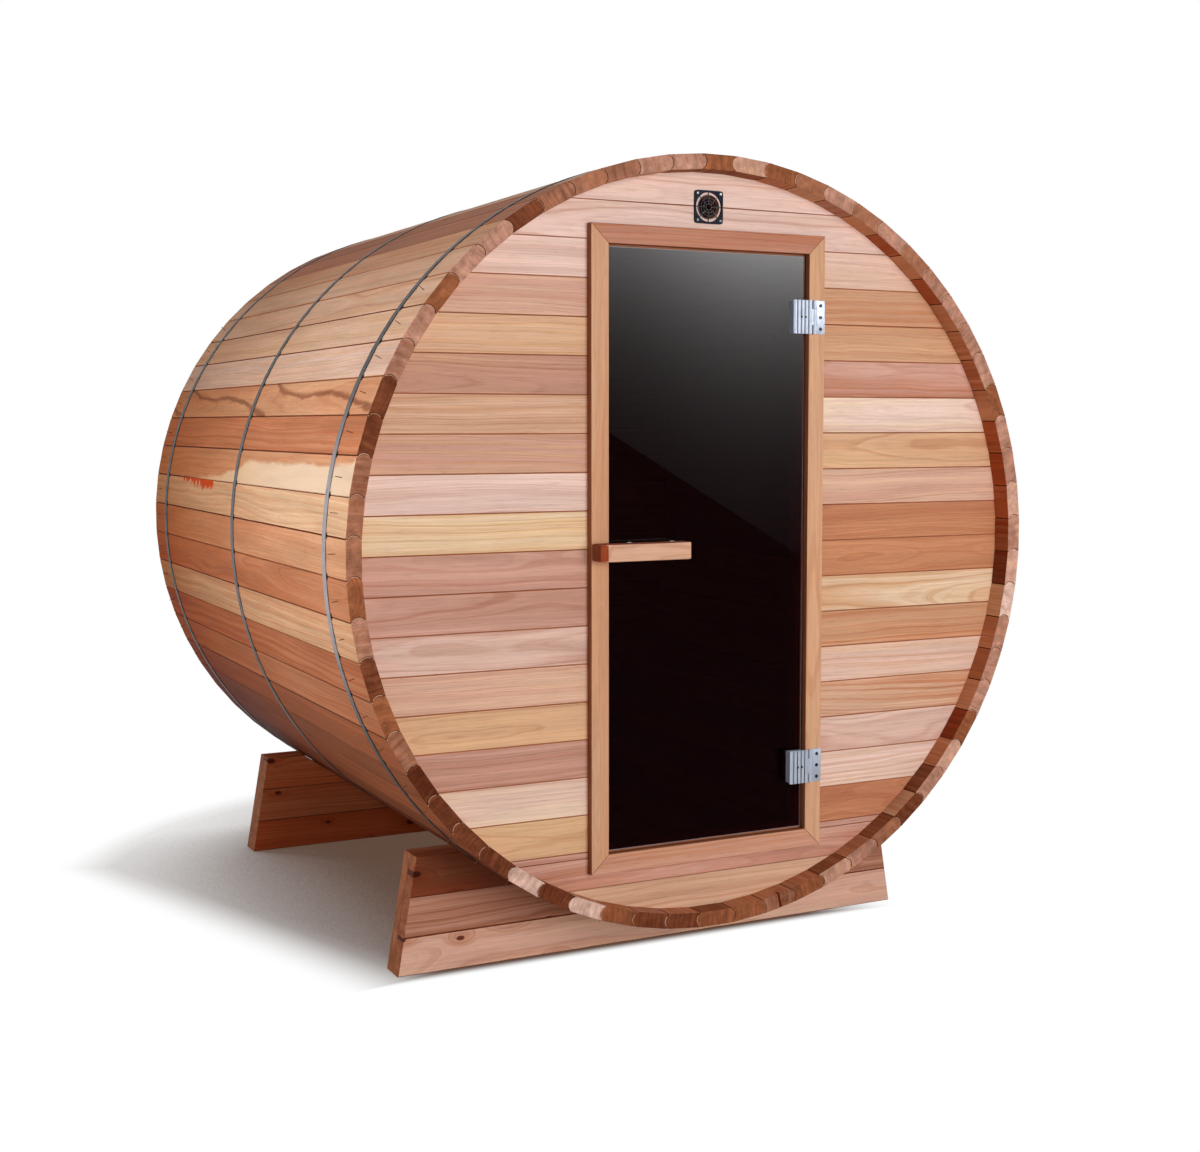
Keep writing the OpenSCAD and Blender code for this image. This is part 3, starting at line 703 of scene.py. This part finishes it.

# Bands: three steel straps drawn tight around the staves, their ends bent down as lugs under the
# barrel and pulled together by a bolt. Dull galvanised steel with a painted sheen: lighter at mid height and
# to the front, darker above, below and to the rear.
band_steel = metal("band_steel", (172, 166, 172), 0.5, 0.4, 0.0003, 0.5)
tree = band_steel.node_tree
shader = tree.nodes["Principled BSDF"]
place = put(tree, "SeparateXYZ", {0: in_place(tree)}).outputs
# Painted sheen: lighter at mid height and to the front
painted_sheen = times(tree, ramp(tree, place[2], 1.42, 1.1), ramp(tree, place[2], 0.6, 0.9),
               ramp(tree, place[1], -0.6, -0.2, 0.8, 0.16), ramp(tree, place[1], 0.3, 0.7, 1.0, 0.1))
steel = shader.inputs["Base Color"].links[0].from_socket
feed(tree, shader, {"Base Color": scaled(tree, steel, sum_of(tree, "ADD", painted_sheen, 0.08))})
bolt_steel = metal("bolt_steel", (158, 157, 154), 0.36, 0.5, 0.0002)
for node, material in (("front_band", band_steel), ("middle_band", band_steel), ("rear_band", band_steel),
                       ("band_bolts", bolt_steel)):
    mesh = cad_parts[node].data
    mesh.materials.clear()
    mesh.materials.append(material)

# Door lining: four plain boards around the doorway, set back so that the glass shuts in front.
# Red cedar, planed, fixed inside the cut in the wall.
lining_cedar = cedar("lining_cedar", 0.0, 0.12, 0.0006)
for part, upright in (("left", True), ("right", True), ("head", False), ("threshold", False)):
    low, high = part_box(f"lining_{part}")
    bm = timber()
    saw(bm, oblong(low.x, low.z, high.x, high.z), low.y, high.y, (X, Z, Y), 1 if upright else 0,
        board_wood("salmon", "russet"))
    fit_up(bm, f"lining_{part}_board", lining_cedar, "cabin", [f"lining_{part}"])

# Door trim: four boards mitred at the corners and nailed flat on the wall around the doorway.
# Straight-grained cedar, front edges rounded over.
trim_cedar = cedar("trim_cedar", 0.0, 0.15, 0.0006)


def trim_part(normal, along):
    """The side faces of a trim board are toned darker than its front, as painted shade."""
    return "face" if abs(normal[2]) > 0.4 else "side"


outer_low, outer_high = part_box("trim_left")[0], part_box("trim_right")[1]
inner_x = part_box("trim_right")[0].x
inner_low, inner_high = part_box("trim_bottom")[1].z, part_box("trim_top")[0].z
trim_x, mitre, round_over = outer_high.x, 0.0001, 0.0022
foot, top = outer_low.z, outer_high.z
trim_outlines = {
    "left": [(-trim_x, foot + mitre), (-inner_x, inner_low + mitre), (-inner_x, inner_high - mitre),
             (-trim_x, top - mitre)],
    "right": [(trim_x, top - mitre), (inner_x, inner_high - mitre), (inner_x, inner_low + mitre),
              (trim_x, foot + mitre)],
    "top": [(mitre - trim_x, top), (mitre - inner_x, inner_high), (inner_x - mitre, inner_high),
            (trim_x - mitre, top)],
    "bottom": [(trim_x - mitre, foot), (inner_x - mitre, inner_low), (mitre - inner_x, inner_low),
               (mitre - trim_x, foot)],
}
trim_tones = {"left": ("tan", "amber"), "right": ("tan", "apricot"), "top": ("salmon", "mauve"),
              "bottom": ("amber", "rose")}
for part, outline in trim_outlines.items():
    low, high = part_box(f"trim_{part}")
    bm = timber()
    # The darker side tone is painted shade
    grown = board_wood(*trim_tones[part], mix=0.6, contrast=0.25, side=("russet", "umber"))
    saw(bm, outline, low.y, high.y, (X, Z, Y), 1 if part in ("left", "right") else 0, grown, round_over, 3,
        part_of=trim_part)
    fit_up(bm, f"trim_{part}_board", trim_cedar, "cabin", [f"trim_{part}"])

# Glass: one sheet of toughened bronze glass, edges ground to a small arris, the whole door leaf.
# It is held only by the two clamps and the pull.
low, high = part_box("door_glass")
glass_arris = 0.0016
bm = bmesh.new()
pane = saw(bm, oblong(low.x, low.z, high.x, high.z), low.y, high.y, (X, Z, Y), 1, None, glass_arris)
recoat(face for face in pane if 0.3 < abs(face.normal.y) < 0.9)
bronze_glass, tree, shader = finish("bronze_glass")
smear = ramp(tree, noise(tree, stretched(tree, in_place(tree), (9, 1, 5)), 4.0, 0.6), 0.5, 0.75)
bronze = blended(tree, smear, (0.12, 0.035, 0.04, 1), (0.13, 0.042, 0.045, 1))
feed(tree, shader, {"Base Color": bronze, "Roughness": graded(tree, smear, 0.02, 0.012),
                    "Transmission Weight": 1.0, "IOR": 1.5})
ground_edge, tree, shader = finish("ground_edge")
grit = noise(tree, stretched(tree, in_place(tree), (700, 700, 700)), 2.0, 0.6)
frosted = blended(tree, grit, paint((150, 148, 150)), paint((206, 204, 206)))
feed(tree, shader, {"Base Color": frosted, "Roughness": graded(tree, grit, 0.2, 0.45)})
fit_up(bm, "door_glass_sheet", (bronze_glass, ground_edge), "door", ["door_glass"])

# Hinges: drawn aluminium, a flat leaf screwed to the trim and a ribbed clamp bolted through the
# glass, turning on a pin between three knuckles.
aluminium = metal("aluminium", (192, 202, 220), 0.4, 0.25, 0.0001, 0.4, (0.72, 0.76, 0.84))
screw_steel = metal("screw_steel", (70, 72, 78), 0.35, 0.3, 0.0001)
leaf_t, knuckle_r, pin_r, screw_rise = 0.004, 0.0055, 0.003, 0.0012
leaf_screw_r, leaf_screw_x, screw_step, clamp_screw_r = 0.0042, 0.0185, 0.028, 0.003
rib_count, rib_rise, plate_gap, pad_inset, back_plate_w = 5, 0.0026, 0.003, 0.002, 0.03
leaf_ease, knuckle_ease, overlap = 0.0008, 0.0007, 0.001


def screw(bm, place, way, radius, dark=False):
    """A screw head, slightly domed, with a dark cross in it."""
    head = rod(bm, place, way, radius, screw_rise, 20, radius * 0.3)
    if dark:
        recoat(head)
    side = way.cross(Z if abs(way.z) < 0.9 else X).normalized()
    up = way.cross(side)
    reach, w = radius * 0.55, radius * 0.13
    for run, over in ((side, up), (up, side)):
        recoat(saw(bm, oblong(-reach, -w, reach, w), screw_rise * 0.9, screw_rise * 1.12, (run, over, way), 2,
                   None, w * 0.3, at=place))


for name in ("upper", "lower"):
    low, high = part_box(f"{name}_hinge_leaf")
    mid_z, quarter = (low.z + high.z) / 2, (high.z - low.z) / 4
    pin_x, pin_y, trim_face = low.x + knuckle_r, low.y + knuckle_r, high.y
    bm = bmesh.new()
    saw(bm, oblong(pin_x + overlap, low.z, high.x, high.z), trim_face - leaf_t, trim_face, (X, Z, Y), 1, None,
        leaf_ease, 2)
    for z in (low.z, high.z - quarter):
        rod(bm, Vector((pin_x, pin_y, z)), Z, knuckle_r, quarter, 28, knuckle_ease)
    rod(bm, Vector((pin_x, pin_y, low.z + 0.001)), Z, pin_r, high.z - low.z - 0.002, 20, 0.0004)
    for z in (mid_z - screw_step, mid_z, mid_z + screw_step):
        screw(bm, Vector((pin_x + leaf_screw_x, trim_face - leaf_t + 0.0003, z)), -Y, leaf_screw_r, dark=True)
    fit_up(bm, f"{name}_hinge_leaf_plate", (aluminium, screw_steel), "cabin",
           [f"{name}_hinge_leaf"])

    low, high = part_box(f"{name}_hinge_clamp")
    pane_low, pane_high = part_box("door_glass")
    plate_x1, plate_back = pin_x - knuckle_r - plate_gap, pin_y + knuckle_r - leaf_t
    rib_w = (plate_x1 - low.x) / rib_count
    outline = [(plate_x1, plate_back), (low.x, plate_back), (low.x, plate_back - leaf_t)]
    for i in range(rib_count):
        for j in range(1, 10):
            a = math.pi * (1 - j / 10)
            outline.append((low.x + (i + 0.5 + 0.4 * math.cos(a)) * rib_w,
                            plate_back - leaf_t - rib_rise * math.sin(a)))
    outline.append((plate_x1, plate_back - leaf_t))
    bm = bmesh.new()
    ribbed = saw(bm, outline, low.z, high.z, (X, Y, Z), 2, None, 0.0005)
    grooves_y = plate_back - leaf_t - 0.001
    recoat(f for f in ribbed if f.normal.y < -0.98 and min(v.co.y for v in f.verts) > grooves_y)
    saw(bm, oblong(low.x + pad_inset, plate_back, pane_high.x, pane_low.y), low.z + pad_inset,
        high.z - pad_inset, (X, Y, Z), 2, None, 0.0006)
    half_mid = quarter - 0.0005
    saw(bm, oblong(plate_x1 - overlap, plate_back - leaf_t, pin_x, plate_back), mid_z - half_mid,
        mid_z + half_mid, (X, Y, Z), 2, None, 0.0004)
    rod(bm, Vector((pin_x, pin_y, mid_z - half_mid)), Z, knuckle_r, 2 * half_mid, 28, knuckle_ease)
    saw(bm, oblong(low.x, low.z, low.x + back_plate_w, high.z), pane_high.y, high.y, (X, Z, Y), 1, None,
        leaf_ease)
    for ribs_in in (2.0, 3.1):
        place = Vector((low.x + ribs_in * rib_w, plate_back - leaf_t - 0.002, mid_z))
        screw(bm, place, -Y, clamp_screw_r, dark=True)
    clamp = fit_up(bm, f"{name}_hinge_clamp_plate", (aluminium, screw_steel), "door",
                   [f"{name}_hinge_clamp"])
    clamp.visible_glossy = False

# Pull: a bar of cedar across the edge of the door, rounded where it laps the trim, carried off the glass by
# two turned spacers on polished rosettes. Its end and top are darker: dark end grain with painted shade on
# it.
handle_cedar = cedar("handle_cedar", 0.0, 0.25, 0.0005)
low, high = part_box("door_handle")
bar_t, block_w, small_round, pull_ease = 0.038, 0.039, 0.005, 0.004
end_round = (0.034, 0.018)


def rounded(centre, rx, ry, start, turn, count=7):
    return [(centre[0] + rx * math.cos(math.radians(start + turn * i / count)),
             centre[1] + ry * math.sin(math.radians(start + turn * i / count))) for i in range(count + 1)]


bar_back = low.y + bar_t
outline = [(low.x, high.y)]
outline += rounded((low.x + end_round[0], low.y + end_round[1]), *end_round, 180, 90, 12)
outline += rounded((high.x - small_round, low.y + small_round), small_round, small_round, 270, 90)
outline += rounded((high.x - small_round, bar_back - small_round), small_round, small_round, 0, 90)
outline += [(low.x + block_w, bar_back), (low.x + block_w, high.y)]
bm = timber()


def pull_part(normal, along):
    """The pull has a dark end of end grain and painted shade that turns through painted shade into a paler
    front, and a top darkened by painted shade.
    """
    if abs(normal[0]) > 0.8:
        return "end"
    return "top" if normal[2] > 0.75 else "turn" if normal[0] < -0.3 else "face"


# The dark end, the turn and the top carry painted shade
grown = board_wood("peach", "tan", ("garnet", "umber"), mix=0.5, contrast=0.5, top=("garnet", "umber"),
                   turn=("ember", "copper"))
saw(bm, outline, low.z, high.z, (X, Y, Z), 0, grown, pull_ease, 4, part_of=pull_part)
fit_up(bm, "door_pull", handle_cedar, "door", ["door_handle"])
polished = metal("polished_steel", (205, 206, 208), 0.14, 0.2, 0.0001)
bm = bmesh.new()
low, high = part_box("handle_spacers")
spacer_r, collar_r = 0.008, 0.011
spacer_z, rosette_r = (low.z + high.z) / 2, (high.z - low.z) / 2
for x in (low.x + rosette_r, high.x - rosette_r):
    base = Vector((x, high.y, spacer_z))
    rod(bm, base, -Y, spacer_r, high.y - low.y, 32, 0.0006)
    rod(bm, base, -Y, rosette_r, 0.003, 40, 0.0012)
    rod(bm, base, -Y, collar_r, 0.0055, 32, 0.001)
fit_up(bm, "pull_spacers", polished, "door", ["handle_spacers"])

# Vent: a square black plastic plate with a ringed grille on spokes in its opening, screwed over the
# hole in the wall at its four corners, with a raised triangle in each corner.
vent_plastic, tree, shader = finish("vent_plastic")
place = in_place(tree)
moulded = noise(tree, stretched(tree, place, (900, 900, 900)), 2.0, 0.6)
dust = ramp(tree, noise(tree, stretched(tree, place, (60, 60, 60)), 3.0), 0.5, 0.8)
black = blended(tree, dust, paint((20, 24, 38)), paint((36, 38, 50)))
feed(tree, shader, {"Base Color": black, "Roughness": graded(tree, moulded, 0.2, 0.5),
                    "Specular IOR Level": 0.2, "Normal": felt(tree, moulded, 0.4, 0.0002)})
grille_plastic = metal("grille_plastic", (74, 73, 77), 0.5, 0.4, 0.0001, 0.0)
low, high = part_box("vent_grille")
vent_half = (high.x - low.x) / 2
open_r, outer_ring_r, ring_w, ring_step, ring_count = 0.034, 0.028, 0.0011, 0.0068, 4
spoke_w, hub_r, vent_screw_r = 0.0012, 0.006, 0.003


def around(radius, corner=2.0, count=64):
    """A closed outline around the middle of the vent: a circle, or squarer as corner grows."""
    turns = [2 * math.pi * i / count for i in range(count)]
    sides = [(math.cos(a), math.sin(a)) for a in turns]
    reach = [radius / (abs(p) ** corner + abs(q) ** corner) ** (1 / corner) for p, q in sides]
    return [(r * p, r * q) for r, (p, q) in zip(reach, sides)]


def pierced(bm, outer, inner, y0, y1, ease):
    """A flat piece with an opening through it, its front edges eased."""
    rows = [(outer, y1), (outer, y0 + ease), (pulled_in(outer, ease), y0), (pulled_in(inner, -ease), y0),
            (inner, y0 + ease), (inner, y1)]
    rows = [[bm.verts.new((p, y, vent_mid.z + q)) for p, q in outline] for outline, y in rows]
    faces = []
    for row, after in zip(rows, rows[1:] + rows[:1]):
        faces += [bm.faces.new((row[i], row[i - 1], after[i - 1], after[i])) for i in range(len(row))]
    bmesh.ops.recalc_face_normals(bm, faces=faces)
    return faces


bm = bmesh.new()
pierced(bm, around(vent_half, 16.0), around(open_r), low.y, high.y, 0.0006)
for i in range(ring_count):
    ring_r = outer_ring_r - i * ring_step
    recoat(pierced(bm, around(ring_r), around(ring_r - ring_w), low.y + 0.0008, high.y - 0.0004, 0.0003))
for i in range(8):
    a = i * math.pi / 4
    out, side = X * math.cos(a) + Z * math.sin(a), Z * math.cos(a) - X * math.sin(a)
    spoke = oblong(hub_r, -spoke_w / 2, open_r + 0.0005, spoke_w / 2)
    recoat(saw(bm, spoke, low.y + 0.0012, high.y - 0.0006, (out, side, Y), 2, None, 0.0002,
               at=Vector((0, 0, vent_mid.z))))
fit_up(bm, "vent_plate", (vent_plastic, grille_plastic), "cabin", ["vent_grille"])
raised, screws = bmesh.new(), bmesh.new()
far, near, screw_at = vent_half - 0.0045, vent_half - 0.017, vent_half - 0.0075
for sx in (-1, 1):
    for sz in (-1, 1):
        corner = [(sx * far, sz * near), (sx * far, sz * far), (sx * near, sz * far)]
        saw(raised, corner, low.y - 0.0008, low.y + 0.001, (X, Z, Y), 2, None, 0.0005,
            at=Vector((0, 0, vent_mid.z)))
        screw(screws, Vector((sx * screw_at, low.y - 0.0004, vent_mid.z + sz * screw_at)), -Y, vent_screw_r)
fit_up(raised, "vent_corners", vent_plastic, "cabin")
fit_up(screws, "vent_screws", (bolt_steel, screw_steel), "cabin")

# Stage: a pale floor with a painted shadow that fades to white, soft lamps, and a lamp card with
# dark flags that only gloss sees, so that the glass shows a soft box above a dark room.
bpy.context.scene.view_settings.view_transform = "Standard"


def card(name, corners, material, gloss_only):
    mesh = bpy.data.meshes.new(name)
    mesh.from_pydata(corners, [], [tuple(range(len(corners)))])
    mesh.materials.append(material)
    made = bpy.data.objects.new(name, mesh)
    bpy.context.scene.collection.objects.link(made)
    if gloss_only:
        for ray in ("camera", "diffuse", "transmission", "volume_scatter", "shadow"):
            setattr(made, f"visible_{ray}", False)


def plain(name):
    made, tree, _ = finish(name)
    tree.nodes.clear()
    return made, tree, tree.nodes.new("ShaderNodeOutputMaterial")


def in_sight(tree):
    """1 for what the camera sees, also by gloss or through glass, and 0 for what only gives light."""
    ray = put(tree, "LightPath").outputs
    return chain(tree, "MAXIMUM", ray["Is Camera Ray"], ray["Is Glossy Ray"], ray["Is Transmission Ray"])


floor_white, tree, out = plain("floor_white")
place = in_place(tree)
away = put(tree, "VectorMath", {0: stretched(tree, place, (1, 0.94, 0))}, operation="LENGTH").outputs["Value"]
fade = ramp(tree, away, 1.1, 1.42)
# Painted shadow under the barrel and to its left: the floor's seen colour darkens where it is occluded, and
# is cleared far out, to the front and to the right, as if light came from the front right
open_sky = put(tree, "AmbientOcclusion", {"Distance": 1.5}, samples=8).outputs["AO"]
beyond = put(tree, "VectorMath", {0: place, 1: (-0.956, -0.292, 0)}, operation="DOT_PRODUCT").outputs["Value"]
at = put(tree, "SeparateXYZ", {0: place}).outputs
clear = chain(tree, "MAXIMUM", ramp(tree, open_sky, 0.25, 1.0), fade, ramp(tree, beyond, 0.74, 1.02),
              ramp(tree, at[1], -0.67, -0.72), ramp(tree, at[0], 0.4, 0.7))
# The painted shadow's colour, mixed to white where the floor is clear
shade = blended(tree, clear, paint((96, 73, 61)), (1, 1, 1, 1))
seen = in_sight(tree)
glow = put(tree, "Emission", {"Color": shade, "Strength": 1.0}).outputs[0]
matt = put(tree, "BsdfDiffuse", {"Color": (0.5, 0.4, 0.33, 1)}).outputs[0]
feed(tree, out, {"Surface": put(tree, "MixShader", {0: seen, 1: matt, 2: glow}).outputs[0]})
card("floor", [(x, y, 0) for x, y in oblong(-14, -14, 14, 14)], floor_white, False)

soft_box, tree, out = plain("soft_box")
place = put(tree, "SeparateXYZ", {0: in_place(tree)}).outputs
level = sum_of(tree, "EXPONENT", graded(tree, place[2], 3.0, -4.956))
level = times(tree, level, ramp(tree, place[0], 1.7, 2.8, 0.42, 1.1))
glow = put(tree, "Emission", {"Color": (1, 1, 1, 1), "Strength": level}).outputs[0]
feed(tree, out, {"Surface": glow})
lit = ((0.6, 1.947), (1.82, 1.245), (2.995, 0.568), (3.95, 0.018), (4.2, 0.018), (4.2, 2.9), (0.6, 2.9))
card("soft_box_card", [(x, -5.0, z) for x, z in lit], soft_box, True)
flag_black, tree, out = plain("flag_black")
matt = put(tree, "BsdfDiffuse", {"Color": (0.004, 0.003, 0.003, 1)}).outputs[0]
feed(tree, out, {"Surface": matt})
card("wall_flag", [(x, -5.05, z) for x, z in oblong(0.6, 0, 4.2, 2.9)], flag_black, True)
card("floor_flag", [(x, y, 0.004) for x, y in oblong(-0.2, -1.15, 4.2, -5.05)], flag_black, True)

world = bpy.data.worlds.new("studio")
bpy.context.scene.world = world
world.use_nodes = True
tree = world.node_tree
feed(tree, tree.nodes["Background"], {"Color": (1, 1, 1, 1),
                                      "Strength": graded(tree, in_sight(tree), 0.85, 0.15)})


def lamp(name, place, aim, size, power):
    data = bpy.data.lights.new(name, "AREA")
    data.shape, data.size, data.energy = "SQUARE", size, power
    made = bpy.data.objects.new(name, data)
    made.location = place
    made.rotation_euler = (Vector(aim) - Vector(place)).to_track_quat("-Z", "Y").to_euler()
    made.visible_glossy = False
    bpy.context.scene.collection.objects.link(made)


lamp("front_lamp", (0.3, -6.4, 1.6), (0, -0.9, 1.05), 2.6, 240)
lamp("left_lamp", (-2.45, -0.75, 1.5), (-0.85, -0.6, 1.2), 0.7, 25.5)
lamp("right_lamp", (3.6, 0.4, 1.9), (0.8, 0.0, 1.1), 1.6, 50)
lamp("back_lamp", (-0.6, 6.4, 2.3), (0, 0.9, 1.05), 2.6, 200)
lamp("top_lamp", (1.2, -1.0, 5.2), (0, 0, 1), 2.5, 32)

camera = bpy.data.cameras.new("camera")
film_mm, photo_px, focal_px = 36, 1200, 1654.6
camera.lens, camera.sensor_width = film_mm * focal_px / photo_px, film_mm
camera.shift_x, camera.shift_y = -9.6 / photo_px, -29.3 / photo_px
eye = bpy.data.objects.new("camera", camera)
eye.location = (-1.9652, -4.2442, 1.2834)
eye.rotation_euler = (math.radians(90 - 4.23), 0, math.radians(-26.933))
bpy.context.scene.collection.objects.link(eye)
bpy.context.scene.camera = eye
